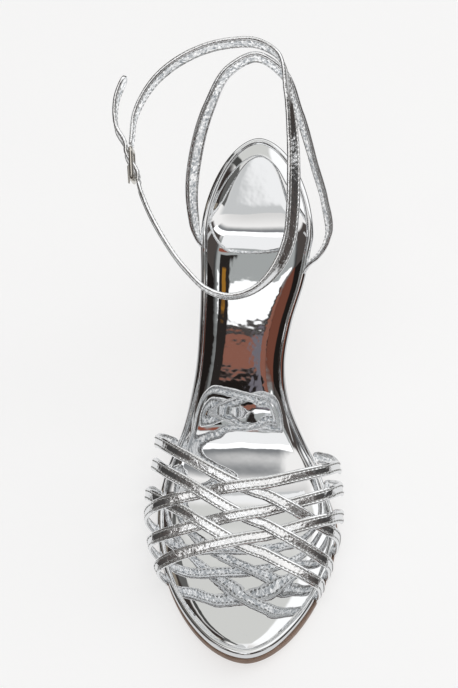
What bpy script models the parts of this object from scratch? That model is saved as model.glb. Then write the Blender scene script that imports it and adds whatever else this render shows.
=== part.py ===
"""A strappy high heeled sandal for the right foot, standing empty on its sole and heel tip.

Sizes are in millimetres and angles in degrees; MM turns them into metres as the meshes are made.
The shoe is laid out from the toe: y runs from the toe of the insole to the heel, +x is the inner
(arch) side of the foot and z is the height over the floor. A root empty then moves the whole shoe
so that the origin is on the floor at the middle of its box.
"""

import bmesh
import bpy
import numpy as np
from mathutils import Matrix, Vector

MM = 0.001
MERGE_DISTANCE = 0.001 * MM
SMOOTH_BELOW = 40.0
PATH_SAMPLES = 1200

# Driving dimensions
PLAN_LENGTH = 202.0
FIT_GAP = 0.3
INSOLE_THICK = 4.0
OUTSOLE_THICK = 2.7
TREAD_TOP = INSOLE_THICK + FIT_GAP + OUTSOLE_THICK
EDGE_BEVEL = 1.0
BEVEL_FROM = 50.0
INSOLE_ROWS, INSOLE_COLUMNS = 46, 9
OUTSOLE_ROWS, OUTSOLE_COLUMNS = 40, 7
END_CROWDING = 0.65

# Side profile of the insole's top: toe spring, flat tread, bend, straight shank, crest, heel seat
TOE_RADIUS = 133.0
TREAD_START = 40.0
TREAD_END = 70.0
BEND_RADIUS = 46.0
SHANK_PITCH = 52.0
SHANK_END = 150.0
CREST_RADIUS = 34.0
SEAT_PITCH = 13.0

# Outline of the insole: half widths of the outer and inner side, behind the rounded toe
OUTLINE_Y, OUTLINE_OUTER, OUTLINE_INNER = np.array([
    (58.0, 43.0, 37.0),
    (68.0, 43.0, 35.0),
    (78.0, 42.0, 31.6),
    (88.0, 39.0, 27.2),
    (98.0, 34.2, 20.8),
    (108.0, 30.2, 15.0),
    (120.0, 26.6, 12.7),
    (132.0, 24.8, 15.4),
    (145.0, 23.7, 21.2),
    (158.0, 23.5, 24.8),
]).T
TOE_LENGTH = {"outer": 65.0, "inner": 64.0}
TOE_POWER = {"outer": 1.8, "inner": 1.75}
SEAT_START = 158.0
SEAT_POWER = 1.8

# Outsole: margin past the insole on the outer and inner side, drawn in under the waist
OUTSOLE_END = 165.5
WELT_Y, WELT_OUTER, WELT_INNER = np.array([
    (0.0, 0.3, 0.3),
    (15.0, 0.2, 0.7),
    (35.0, 0.2, 0.8),
    (60.0, 0.2, 0.8),
    (75.0, 0.0, 0.2),
    (90.0, -1.2, -1.2),
    (110.0, -2.0, -2.0),
    (130.0, -1.5, -1.5),
    (OUTSOLE_END, -1.0, -1.0),
]).T

# Foot form under the vamp straps: half widths at its widest, and height of its ridge over the floor
FORM_Y, FORM_OUTER, FORM_INNER, FORM_TOP = np.array([
    (15.0, 27.0, 24.0, 27.5),
    (25.0, 34.8, 30.2, 30.0),
    (35.0, 40.2, 34.4, 32.4),
    (45.0, 43.6, 37.0, 35.8),
    (55.0, 45.6, 38.8, 40.0),
    (68.0, 46.2, 39.0, 45.4),
    (82.0, 43.9, 37.2, 52.5),
    (96.0, 43.0, 33.0, 61.0),
]).T
FORM_RIDGE = 6.0
FORM_WIDE = 13.0
FORM_POWER = 2.3
FORM_FOOT = -2.3
FORM_FOOT_RAISE = 1.2

# Vamp straps: distance from the toe at stations round the form, from the outer to the inner edge.
# The stations are degrees: -90 at the outer edge, 0 and 180 at the widest, 90 at the ridge.
STRAP_STATIONS = (-90.0, 0.0, 50.0, 90.0, 130.0, 180.0, 270.0)
STRAPS_FROM_OUTER = (
    (99.0, 90.6, 76.0, 60.0, 51.0, 49.0, 50.5),
    (88.0, 81.0, 66.5, 48.5, 39.5, 36.0, 38.5),
    (77.5, 67.5, 54.0, 37.0, 29.5, 27.0, 29.0),
)
STRAPS_FROM_INNER = (
    (57.5, 56.5, 59.0, 64.0, 70.5, 81.0, 94.0),
    (44.5, 44.0, 46.5, 53.0, 60.5, 71.5, 81.5),
    (34.5, 32.5, 37.0, 43.5, 50.5, 58.5, 68.0),
)
STRAP_WIDTH = 5.4
STRAP_THICK = 1.4
WEAVE_LIFT = 0.6
LIFT_FADE = 30.0
STRAP_STEPS = 32
SLOPE_STEP = 0.5
EDGE_SLACK = 0.3
EDGE_CLEAR = FIT_GAP + EDGE_SLACK + STRAP_THICK / 2

# Heel strap, from the outer edge of the insole round the back to the inner edge: x, y, z and lean.
# The lean is the angle of the strap's top edge outwards.
HEEL_STRAP_ROWS = (
    (-25.0, 156.3, 83.0, 0.0),
    (-25.6, 158.6, 87.2, 8.0),
    (-26.9, 162.0, 93.5, 24.0),
    (-27.0, 168.5, 104.0, 40.0),
    (-24.4, 178.5, 119.0, 42.0),
    (-18.5, 191.5, 134.5, 28.0),
    (-10.0, 203.5, 144.0, 8.0),
    (1.0, 208.0, 147.0, 0.0),
    (11.5, 203.0, 143.5, 8.0),
    (19.0, 190.0, 131.5, 26.0),
    (25.0, 176.0, 115.0, 36.0),
    (28.4, 166.5, 103.5, 30.0),
    (29.8, 157.5, 92.0, 16.0),
    (27.6, 151.0, 82.6, 6.0),
    (24.6, 147.0, 75.6, 0.0),
)
# Ankle strap, from the hinge of the buckle round the back and the front to the buckle's near bar
ANKLE_STRAP_ROWS = (
    (-48.8, 187.0, 134.5, 0.0),
    (-41.5, 199.0, 141.0, 0.0),
    (-26.0, 208.3, 148.0, 0.0),
    (-10.0, 211.4, 151.6, 0.0),
    (1.5, 210.7, 152.4, 0.0),
    (10.2, 205.0, 152.0, -8.0),
    (14.6, 190.0, 146.2, -26.0),
    (17.0, 173.5, 138.5, -46.0),
    (17.8, 157.5, 131.5, -54.0),
    (17.6, 147.0, 125.0, -52.0),
    (16.4, 138.0, 118.5, -46.0),
    (13.4, 130.5, 114.5, -32.0),
    (8.0, 123.5, 111.2, -8.0),
    (0.5, 118.0, 109.6, 10.0),
    (-8.0, 116.0, 109.6, 15.0),
    (-15.8, 117.8, 111.2, 14.0),
    (-24.4, 124.4, 114.8, 10.0),
    (-35.6, 138.4, 120.0, 6.0),
    (-42.4, 150.4, 123.0, 2.0),
)
TAIL_ROWS = (
    (-56.0, 181.0, 134.0, 0.0),
    (-56.6, 191.0, 138.5, 0.0),
    (-53.0, 201.0, 143.0, 0.0),
)
LONG_STRAP_WIDTH = 6.4
LONG_STRAP_THICK = 1.5
HEEL_STRAP_STEPS = 44
ANKLE_STRAP_STEPS = 110

# Buckle: a rounded frame in the strap's plane, with a prong lying over the near bar
BUCKLE_CENTRE = (-49.0, 167.2, 127.4)
BUCKLE_ALONG = (-0.08, 0.90, 0.42)
BUCKLE_WIRE = 0.9
BUCKLE_OPENING = (11.0, 8.6)
BUCKLE_CORNER = 1.6
PRONG_RADIUS = 0.5
PRONG_POINT = 0.35
PRONG_SPAN = (-7.6, 0.2)

# Heel: its section at fractions of the height from the heel tip up to the heel seat
HEEL_ROWS = np.array([
    # fraction, breast y, back y, half width
    (0.00, 182.0, 191.6, 4.8),
    (0.25, 180.8, 192.6, 5.1),
    (0.50, 178.8, 194.4, 6.2),
    (0.72, 175.8, 196.8, 8.8),
    (0.88, 172.4, 199.2, 14.0),
    (1.00, 169.2, 201.2, 21.4),
])
HEEL_TIP_HEIGHT = 6.0
HEEL_SIDE_POINTS = 12
HEEL_LEVELS = 11

SILVER = "C9CBCE"
TAN = "A57C66"
RUBBER = "2C2B2A"
STEEL = "BFC0C2"


def clear_scene():
    """Start from an empty scene."""
    for thing in list(bpy.data.objects):
        bpy.data.objects.remove(thing, do_unlink=True)


def new_collection(name):
    """A collection linked to the scene."""
    made = bpy.data.collections.new(name)
    bpy.context.scene.collection.children.link(made)
    return made


def finish(name, colour, metallic, roughness):
    """A Principled material of one colour."""
    material = bpy.data.materials.new(name)
    material.use_nodes = True
    shader = material.node_tree.nodes["Principled BSDF"]
    srgb = np.array([int(colour[i:i + 2], 16) / 255 for i in (0, 2, 4)])
    linear = np.where(srgb <= 0.04045, srgb / 12.92, ((srgb + 0.055) / 1.055) ** 2.4)
    shader.inputs["Base Color"].default_value = (*linear, 1.0)
    shader.inputs["Metallic"].default_value = metallic
    shader.inputs["Roughness"].default_value = roughness
    return material


def smooth(knots, values, at):
    """Cubic curve through the values at the knots, flat beyond them."""
    knots = np.asarray(knots, float)
    values = np.asarray(values, float)
    at = np.clip(np.asarray(at, float), knots[0], knots[-1])
    slopes = np.gradient(values, knots)
    i = np.clip(np.searchsorted(knots, at, side="right") - 1, 0, len(knots) - 2)
    span = knots[i + 1] - knots[i]
    t = (at - knots[i]) / span
    return ((1 + 2 * t) * (1 - t) ** 2 * values[i] + t * (1 - t) ** 2 * span * slopes[i]
            + t ** 2 * (3 - 2 * t) * values[i + 1] - t ** 2 * (1 - t) * span * slopes[i + 1])


def level_steps(knots, values, at):
    """Values at the knots joined by soft steps, level at every knot and beyond the ends."""
    at = np.clip(at, knots[0], knots[-1])
    i = np.clip(np.searchsorted(knots, at, side="right") - 1, 0, len(knots) - 2)
    t = (at - knots[i]) / (knots[i + 1] - knots[i])
    return values[i] + t ** 2 * (3 - 2 * t) * (values[i + 1] - values[i])


def profile(y):
    """Height of the insole's top over the floor and the sine of its pitch, y from the toe."""
    y = np.asarray(y, float)
    shank_sine, seat_sine = np.sin(np.radians((SHANK_PITCH, SEAT_PITCH)))
    shank_cosine, seat_cosine = np.cos(np.radians((SHANK_PITCH, SEAT_PITCH)))
    bend_end = TREAD_END + BEND_RADIUS * shank_sine
    crest_end = SHANK_END + CREST_RADIUS * (shank_sine - seat_sine)
    zones = [y < TREAD_START, y < TREAD_END, y < bend_end, y < SHANK_END, y < crest_end]
    sine = np.select(zones, [
        (y - TREAD_START) / TOE_RADIUS,
        np.zeros_like(y),
        (y - TREAD_END) / BEND_RADIUS,
        np.full_like(y, shank_sine),
        shank_sine - (y - SHANK_END) / CREST_RADIUS,
    ], seat_sine)
    cosine = np.sqrt(1 - sine ** 2)
    bend_top = TREAD_TOP + BEND_RADIUS * (1 - shank_cosine)
    shank_top = bend_top + (SHANK_END - bend_end) * shank_sine / shank_cosine
    crest_top = shank_top + CREST_RADIUS * (seat_cosine - shank_cosine)
    height = np.select(zones, [
        TREAD_TOP + TOE_RADIUS * (1 - cosine),
        np.full_like(y, TREAD_TOP),
        TREAD_TOP + BEND_RADIUS * (1 - cosine),
        bend_top + (y - bend_end) * shank_sine / shank_cosine,
        shank_top + CREST_RADIUS * (cosine - shank_cosine),
    ], crest_top + (y - crest_end) * seat_sine / seat_cosine)
    return height, sine


def half_width(y, side, grow=0.0):
    """Half width of the insole's outline on one side, grown outwards by a margin."""
    y = np.asarray(y, float)
    straight = smooth(OUTLINE_Y, OUTLINE_OUTER if side == "outer" else OUTLINE_INNER, y) + grow
    toe = np.clip(1 - (y + grow) / (TOE_LENGTH[side] + grow), 0, 1)
    seat = np.clip((y - SEAT_START) / (PLAN_LENGTH + grow - SEAT_START), 0, 1)
    toe_round = (1 - toe ** TOE_POWER[side]) ** (1 / TOE_POWER[side])
    seat_round = (1 - seat ** SEAT_POWER) ** (1 / SEAT_POWER)
    return straight * toe_round * seat_round


def below(y, depth):
    """Place in the side view at a depth under the insole's top, square to it."""
    height, sine = profile(y)
    return y + depth * sine, height - depth * np.sqrt(1 - sine ** 2)


def grid_mesh(name, points, wrap=False):
    """Mesh of a grid of points, moved there from a flat grid; wrap joins its first and last column."""
    rows, columns = points.shape[:2]
    shape = bmesh.new()
    bmesh.ops.create_grid(shape, x_segments=columns - 1, y_segments=rows - 1, size=1.0)
    shape.verts.ensure_lookup_table()
    for vertex, place in zip(shape.verts, points.reshape(-1, 3)):
        vertex.co = Vector(place * MM)
    bmesh.ops.remove_doubles(shape, verts=shape.verts, dist=MERGE_DISTANCE)
    if wrap:
        bmesh.ops.holes_fill(shape, edges=[edge for edge in shape.edges if edge.is_boundary])
    bmesh.ops.recalc_face_normals(shape, faces=shape.faces)
    mesh = bpy.data.meshes.new(name)
    shape.to_mesh(mesh)
    shape.free()
    return mesh


def shade_round(mesh):
    """Shade a round piece smooth, with its rims left sharp."""
    mesh.shade_smooth()
    mesh.set_sharp_from_angle(angle=np.radians(SMOOTH_BELOW))


def add_object(name, data, collection, material=None, parent=None):
    """An object of some data in a collection."""
    made = bpy.data.objects.new(name, data)
    collection.objects.link(made)
    made.parent = parent
    if material:
        data.materials.append(material)
    return made


def solidify(piece, thick, offset):
    """Give an open surface its thickness."""
    wall = piece.modifiers.new("wall", "SOLIDIFY")
    wall.thickness = thick * MM
    wall.offset = offset
    wall.use_even_offset = True
    return wall


def sole_sheet(name, depth, ends, grow, rows, columns):
    """Surface of the sole at a depth under the insole's top, its rows closer together at the ends."""
    turn = np.linspace(0, np.pi, rows)
    along = END_CROWDING * (0.5 - 0.5 * np.cos(turn)) + (1 - END_CROWDING) * turn / np.pi
    y = ends[0] + (ends[1] - ends[0]) * along
    across = np.linspace(-1, 1, columns)
    outer, inner = (half_width(y, side, grow(y, side)) for side in ("outer", "inner"))
    middle = (inner - outer) / 2
    reach = (inner + outer) / 2
    x = middle[:, None] + reach[:, None] * across
    place_y, place_z = below(y, depth)
    flat = np.ones_like(across)
    return grid_mesh(name, np.dstack([x, place_y[:, None] * flat, place_z[:, None] * flat]))


def no_margin(y, side):
    """The outline as it is."""
    return np.zeros_like(y)


def make_insole(collection, root, material):
    """Padded board from toe to heel back, with its edge rounded."""
    mesh = sole_sheet("insole", 0.0, (0.0, PLAN_LENGTH), no_margin, INSOLE_ROWS, INSOLE_COLUMNS)
    insole = add_object("insole", mesh, collection, material, root)
    solidify(insole, INSOLE_THICK, -1.0 if mesh.polygons[0].normal.z > 0 else 1.0)
    bevel = insole.modifiers.new("edge", "BEVEL")
    bevel.width = EDGE_BEVEL * MM
    bevel.segments = 2
    bevel.limit_method = "ANGLE"
    bevel.angle_limit = np.radians(BEVEL_FROM)


def welt(y, side):
    """Margin of the outsole past the insole on one side."""
    return smooth(WELT_Y, WELT_OUTER if side == "outer" else WELT_INNER, y)


def make_outsole(collection, root, material):
    """Thin sole under the insole as far as the breast of the heel."""
    depth = INSOLE_THICK + FIT_GAP + OUTSOLE_THICK
    ends = (-WELT_OUTER[0], OUTSOLE_END)
    mesh = sole_sheet("outsole", depth, ends, welt, OUTSOLE_ROWS, OUTSOLE_COLUMNS)
    outsole = add_object("outsole", mesh, collection, material, root)
    solidify(outsole, OUTSOLE_THICK, 1.0 if mesh.polygons[0].normal.z > 0 else -1.0)


def foot_form(around, y):
    """Point of the foot form at an angle round it and a distance from the toe."""
    floor, sine = profile(y)
    outer_side = around < 90
    lean = np.radians(np.where(outer_side, around, 180 - around))
    widest = np.where(outer_side, smooth(FORM_Y, FORM_OUTER, y), smooth(FORM_Y, FORM_INNER, y))
    seat_y = y - INSOLE_THICK * np.clip(sine, 0, 1)
    edge, ahead = (np.where(outer_side, half_width(at, "outer"), half_width(at, "inner"))
                   for at in (seat_y, seat_y + 1))
    edge = edge + EDGE_CLEAR * np.hypot(1, ahead - edge)
    low = lean < 0
    fall = np.cos(np.clip(lean, -np.pi / 2, 0))
    low_reach = edge + (widest - edge) * fall
    foot = FORM_FOOT + FORM_FOOT_RAISE * np.clip(sine, 0, 1)
    low_height = foot + (FORM_WIDE - foot) * (1 + lean / (np.pi / 2))
    rise = np.clip(lean, 0, np.pi / 2)
    ridge = np.where(outer_side, -FORM_RIDGE, FORM_RIDGE)
    crown = smooth(FORM_Y, FORM_TOP, y) - floor - FORM_WIDE
    high_reach = ridge + (widest - ridge) * np.abs(np.cos(rise)) ** (2 / FORM_POWER)
    high_height = FORM_WIDE + crown * np.sin(rise) ** (2 / FORM_POWER)
    reach = np.where(low, low_reach, high_reach)
    height = floor + np.where(low, low_height, high_height)
    return np.stack([np.where(outer_side, -reach, reach), y, height], axis=-1)


def unit(vectors):
    """Vectors scaled to length one."""
    return vectors / np.linalg.norm(vectors, axis=-1, keepdims=True)


def evenly(points, values, count):
    """Resample a path and a value carried along it at even steps of length."""
    length = np.r_[0, np.cumsum(np.linalg.norm(np.diff(points, axis=0), axis=1))]
    at = np.linspace(0, length[-1], count)
    placed = np.stack([np.interp(at, length, points[:, k]) for k in range(3)], axis=1)
    return placed, np.interp(at, length, values)


def crossings(strap, others):
    """Angles round the form at which a strap meets each of the others."""
    around = np.linspace(STRAP_STATIONS[0], STRAP_STATIONS[-1], PATH_SAMPLES)
    own = smooth(STRAP_STATIONS, strap, around)
    meets = []
    for other in others:
        apart = own - smooth(STRAP_STATIONS, other, around)
        meets.append(around[np.argmax(apart[:-1] * apart[1:] <= 0)])
    return np.array(meets)


def woven_strap(name, strap, lifts, others, collection):
    """One strap lying on the foot form, lifted and sunk where it passes the others."""
    around = np.linspace(STRAP_STATIONS[0], STRAP_STATIONS[-1], PATH_SAMPLES)
    path = foot_form(around, smooth(STRAP_STATIONS, strap, around))
    _, around = evenly(path, around, STRAP_STEPS + 1)
    y = smooth(STRAP_STATIONS, strap, around)
    path = foot_form(around, y)
    forward = unit(np.gradient(path, axis=0))
    round_form = foot_form(around + SLOPE_STEP, y) - foot_form(around - SLOPE_STEP, y)
    along_form = foot_form(around, y + SLOPE_STEP) - foot_form(around, y - SLOPE_STEP)
    outward = unit(np.cross(round_form, along_form))
    outward = np.where(outward[STRAP_STEPS // 2, 2] > 0, outward, -outward)
    across = unit(np.cross(outward, forward))
    meets = crossings(strap, others)
    order = np.argsort(meets)
    knots = np.r_[meets[order[0]] - LIFT_FADE, meets[order], meets[order[-1]] + LIFT_FADE]
    lift = level_steps(knots, np.r_[0, np.asarray(lifts)[order], 0], around)
    middle = path + lift[:, None] * outward
    half = STRAP_WIDTH / 2 * across
    mesh = grid_mesh(name, np.stack([middle - half, middle + half], axis=1))
    strap_object = add_object(name, mesh, collection)
    solidify(strap_object, STRAP_THICK, 0.0)
    strap_object.modifiers.new("triangles", "TRIANGULATE")
    return strap_object


def make_vamp(collection, cutters, root, material):
    """The upper: six straps woven over and under, joined where they cross."""
    pieces = []
    for i, strap in enumerate(STRAPS_FROM_INNER):
        lifts = [WEAVE_LIFT if (i + j) % 2 == 0 else -WEAVE_LIFT for j in range(3)]
        home = cutters if pieces else collection
        name = f"strap_from_inner_{i}" if pieces else "vamp_straps"
        pieces.append(woven_strap(name, strap, lifts, STRAPS_FROM_OUTER, home))
    for i, strap in enumerate(STRAPS_FROM_OUTER):
        lifts = [-WEAVE_LIFT if (i + j) % 2 == 0 else WEAVE_LIFT for j in range(3)]
        pieces.append(woven_strap(f"strap_from_outer_{i}", strap, lifts, STRAPS_FROM_INNER, cutters))
    vamp = pieces[0]
    vamp.parent = root
    vamp.data.materials.append(material)
    for other in pieces[3:] + pieces[1:3]:
        other.parent = root
        other.hide_render = True
        other.display_type = "WIRE"
        join = vamp.modifiers.new("join", "BOOLEAN")
        join.operation = "UNION"
        join.solver = "EXACT"
        join.object = other


def band(name, rows, steps, collection, root, material):
    """A strap along a smooth path of rows x, y, z and lean."""
    rows = np.asarray(rows, float)
    knots = np.r_[0, np.cumsum(np.linalg.norm(np.diff(rows[:, :3], axis=0), axis=1))]
    at = np.linspace(0, knots[-1], PATH_SAMPLES)
    dense = np.stack([smooth(knots, rows[:, k], at) for k in range(3)], axis=1)
    path, lean = evenly(dense, smooth(knots, rows[:, 3], at), steps + 1)
    forward = unit(np.gradient(path, axis=0))
    up = np.array([0.0, 0.0, 1.0])
    outward = unit(np.cross(up, forward))
    upward = np.cross(forward, outward)
    tilt = np.radians(lean)[:, None]
    across = np.cos(tilt) * upward + np.sin(tilt) * outward
    half = LONG_STRAP_WIDTH / 2 * across
    mesh = grid_mesh(name, np.stack([path - half, path + half], axis=1))
    made = add_object(name, mesh, collection, material, root)
    solidify(made, LONG_STRAP_THICK, 0.0)
    return made


def buckle_axes():
    """Axes of the buckle: along the strap, up across it, and outwards."""
    along = unit(np.array(BUCKLE_ALONG))
    outward = unit(np.cross(np.array([0.0, 0.0, 1.0]), along))
    return along, np.cross(along, outward), outward


def at_buckle(along, outwards):
    """A row of a strap's path at the buckle."""
    axes = buckle_axes()
    return (*(np.array(BUCKLE_CENTRE) + along * axes[0] + outwards * axes[2]), 0.0)


def make_ankle_strap(collection, root, material):
    """Slack strap round the ankle: under the buckle's near bar, over its hinge bar, and on as a tail."""
    bar = BUCKLE_OPENING[0] / 2 + BUCKLE_WIRE
    near, far = bar - BUCKLE_WIRE, bar + BUCKLE_WIRE
    clear = BUCKLE_WIRE + LONG_STRAP_THICK / 2 + 2 * FIT_GAP
    hinge_end = at_buckle(far + 3 * FIT_GAP, 0.0)
    under_bar = (at_buckle(-far, -clear), at_buckle(-near, -clear))
    over_bar = (at_buckle(near, clear), at_buckle(far, clear))
    rows = (hinge_end, *ANKLE_STRAP_ROWS, *under_bar, *over_bar, *TAIL_ROWS)
    band("ankle_strap", rows, ANKLE_STRAP_STEPS, collection, root, material)


def make_buckle(collection, root, material):
    """Rounded wire frame and its prong."""
    axes = buckle_axes()
    place = Matrix([[axes[k][row] for k in range(3)] for row in range(3)]).to_4x4()
    place.translation = Vector(BUCKLE_CENTRE) * MM
    half = np.array(BUCKLE_OPENING) / 2 + BUCKLE_WIRE
    wire = bpy.data.curves.new("buckle_frame", "CURVE")
    wire.dimensions = "3D"
    wire.bevel_depth = BUCKLE_WIRE * MM
    wire.bevel_resolution = 1
    outline = []
    for corner, (sx, sy) in enumerate(((1, 1), (-1, 1), (-1, -1), (1, -1))):
        for turn in (0, 45, 90):
            angle = np.radians(90 * corner + turn)
            middle = (half - BUCKLE_CORNER) * (sx, sy)
            outline.append(middle + BUCKLE_CORNER * np.array((np.cos(angle), np.sin(angle))))
    spline = wire.splines.new("POLY")
    spline.points.add(len(outline) - 1)
    for point, (x, y) in zip(spline.points, outline):
        point.co = (x * MM, y * MM, 0.0, 1.0)
    spline.use_cyclic_u = True
    frame = add_object("buckle_frame", wire, collection, material, root)
    frame.matrix_local = place
    shape = bmesh.new()
    length = (PRONG_SPAN[1] - PRONG_SPAN[0]) * MM
    bmesh.ops.create_cone(shape, cap_ends=True, segments=10, radius1=PRONG_POINT * MM,
                          radius2=PRONG_RADIUS * MM, depth=length)
    bmesh.ops.rotate(shape, verts=shape.verts, matrix=Matrix.Rotation(np.pi / 2, 3, "Y"))
    over = BUCKLE_WIRE + FIT_GAP + PRONG_RADIUS
    shift = Vector((sum(PRONG_SPAN) / 2, 0.0, over)) * MM
    bmesh.ops.translate(shape, verts=shape.verts, vec=shift)
    mesh = bpy.data.meshes.new("buckle_prong")
    shape.to_mesh(mesh)
    shape.free()
    shade_round(mesh)
    prong = add_object("buckle_prong", mesh, collection, material, root)
    prong.matrix_local = place


def make_heel(collection, root, cover, rubber):
    """Slim heel drawn from the heel seat down to the tip, and the flat top piece it stands on."""
    fractions, breast, back, reach = HEEL_ROWS.T
    turn = np.linspace(0, np.pi, HEEL_SIDE_POINTS)
    side_share = 0.5 - 0.5 * np.cos(turn)
    side_y = breast[-1] + (back[-1] - breast[-1]) * side_share
    outer = half_width(side_y, "outer")
    inner = half_width(side_y, "inner")
    ring_x = np.r_[-outer, inner[::-1], -outer[0]] / max(outer.max(), inner.max())
    share = np.r_[side_share, side_share[::-1], side_share[0]]
    bottom = HEEL_TIP_HEIGHT + FIT_GAP
    level = np.linspace(0, 1, HEEL_LEVELS)
    front = smooth(fractions, breast, level)[:, None]
    rear = smooth(fractions, back, level)[:, None]
    wide = smooth(fractions, reach, level)[:, None]
    x = wide * ring_x
    y = front + (rear - front) * share
    seat_top, sine = profile(breast[-1] + (back[-1] - breast[-1]) * share)
    under = seat_top - (INSOLE_THICK + FIT_GAP) / np.sqrt(1 - sine ** 2)
    z = bottom + level[:, None] * (under - bottom)
    heel_mesh = grid_mesh("heel", np.dstack([x, y, z]), wrap=True)
    shade_round(heel_mesh)
    add_object("heel", heel_mesh, collection, cover, root)
    ring = np.stack([x[0], y[0], np.zeros_like(share)], axis=1)
    tip_mesh = grid_mesh("heel_tip", np.stack([ring, ring + (0, 0, HEEL_TIP_HEIGHT)]), wrap=True)
    shade_round(tip_mesh)
    add_object("heel_tip", tip_mesh, collection, rubber, root)


def stand_at_origin(root, collection):
    """Move the root so that the middle of the shoe's box is over the origin."""
    view = bpy.context.evaluated_depsgraph_get()
    corners = []
    for part in collection.objects:
        if part.type != "EMPTY":
            mesh = part.evaluated_get(view).to_mesh()
            corners += [part.matrix_world @ vertex.co for vertex in mesh.vertices]
    corners = np.array(corners)
    middle = (corners.min(axis=0) + corners.max(axis=0)) / 2
    root.location = (-middle[0], -middle[1], 0.0)


def main():
    clear_scene()
    collection = new_collection("strappy_heeled_sandal")
    cutters = new_collection("cutters")
    root = bpy.data.objects.new("root", None)
    collection.objects.link(root)
    silver = finish("silver_mirror_leather", SILVER, 1.0, 0.15)
    leather = finish("tan_sole_leather", TAN, 0.0, 0.55)
    rubber = finish("dark_rubber", RUBBER, 0.0, 0.6)
    steel = finish("polished_steel", STEEL, 1.0, 0.12)
    make_outsole(collection, root, leather)
    make_insole(collection, root, silver)
    make_vamp(collection, cutters, root, silver)
    band("heel_strap", HEEL_STRAP_ROWS, HEEL_STRAP_STEPS, collection, root, silver)
    make_ankle_strap(collection, root, silver)
    make_buckle(collection, root, steel)
    make_heel(collection, root, silver, rubber)
    bpy.context.view_layer.update()
    stand_at_origin(root, collection)


main()
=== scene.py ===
import bpy
import numpy as np
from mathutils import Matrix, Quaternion, Vector


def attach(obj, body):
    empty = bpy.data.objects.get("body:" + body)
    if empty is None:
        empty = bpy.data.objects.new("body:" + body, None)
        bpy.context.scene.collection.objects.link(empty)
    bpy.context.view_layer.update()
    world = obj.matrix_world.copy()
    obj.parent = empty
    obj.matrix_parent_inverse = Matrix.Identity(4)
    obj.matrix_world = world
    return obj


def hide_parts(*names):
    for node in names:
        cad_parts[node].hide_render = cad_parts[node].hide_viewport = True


# Right strappy sandal in silver foil leather. Sizes below are millimetres from the toe of the insole:
# x to the arch side, y back to the heel, z up. shoeShift then puts them in the frame of the CAD part.
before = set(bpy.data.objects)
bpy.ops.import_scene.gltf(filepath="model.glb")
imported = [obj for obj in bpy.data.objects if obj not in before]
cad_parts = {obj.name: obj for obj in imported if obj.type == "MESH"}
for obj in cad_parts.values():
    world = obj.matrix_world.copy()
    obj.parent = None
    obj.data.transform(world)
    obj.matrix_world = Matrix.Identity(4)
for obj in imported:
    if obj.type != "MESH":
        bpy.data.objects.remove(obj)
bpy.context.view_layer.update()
mm = 0.001
shoeShift = np.array((8.874, -104.967, 0.0))
print("frame loaded:", len(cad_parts), "nodes")


# Cubic curve through values at knots, level beyond the ends
def smooth(knots, values, at):
    knots, values = np.asarray(knots, float), np.asarray(values, float)
    at = np.clip(np.asarray(at, float), knots[0], knots[-1])
    slopes = np.gradient(values, knots)
    i = np.clip(np.searchsorted(knots, at, side="right") - 1, 0, len(knots) - 2)
    span = knots[i + 1] - knots[i]
    t = (at - knots[i]) / span
    return ((1 + 2 * t) * (1 - t) ** 2 * values[i] + t * (1 - t) ** 2 * span * slopes[i]
            + t ** 2 * (3 - 2 * t) * values[i + 1] - t ** 2 * (1 - t) * span * slopes[i + 1])


# Each vector over its own length
def unit(vectors):
    return vectors / np.linalg.norm(vectors, axis=-1, keepdims=True)


# Points at even steps of length along a path; extra columns are carried along
def evenly(path, count):
    run = np.r_[0, np.cumsum(np.linalg.norm(np.diff(path[:, :3], axis=0), axis=1))]
    at = np.linspace(0, run[-1], count)
    return np.stack([np.interp(at, run, path[:, k]) for k in range(path.shape[1])], axis=1)


# Values at knots joined by soft steps t * t * (3 - 2 * t), level at every knot and beyond the ends
def levelSteps(knots, values, at):
    at = np.clip(at, knots[0], knots[-1])
    i = np.clip(np.searchsorted(knots, at, side="right") - 1, 0, len(knots) - 2)
    t = (at - knots[i]) / (knots[i + 1] - knots[i])
    return values[i] + t ** 2 * (3 - 2 * t) * (values[i + 1] - values[i])


# Each point moves half way to the middle of its neighbours, then back out by a little more, so that
# bumps go and the size stays.
def relax(points, times, closed):
    points = np.array(points, float)
    for step in (0.5, -0.52) * times:
        pull = (np.roll(points, 1, axis=0) + np.roll(points, -1, axis=0)) / 2 - points
        moved = points + step * pull
        points = moved if closed else np.concatenate([points[:1], moved[1:-1], points[-1:]])
    return points


# A grid of points becomes a closed skin: points that coincide to a ten thousandth of a millimetre are welded
def skin(name, grid, finishes, columnFinish=None):
    rows, columns = grid.shape[:2]
    points = (grid.reshape(-1, 3) + shoeShift) * mm
    _, first, weld = np.unique(np.round(points * 1e7).astype(np.int64), axis=0,
                               return_index=True, return_inverse=True)
    weld = weld.reshape(rows, columns)
    faces = np.stack([weld[:-1, :-1], weld[:-1, 1:], weld[1:, 1:], weld[1:, :-1]], axis=-1).reshape(-1, 4)
    finish = np.zeros(columns - 1, int) if columnFinish is None else np.asarray(columnFinish)
    finish = np.tile(finish, rows - 1)
    return fillMesh(name, points[first], faces, finish, finishes)


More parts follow.
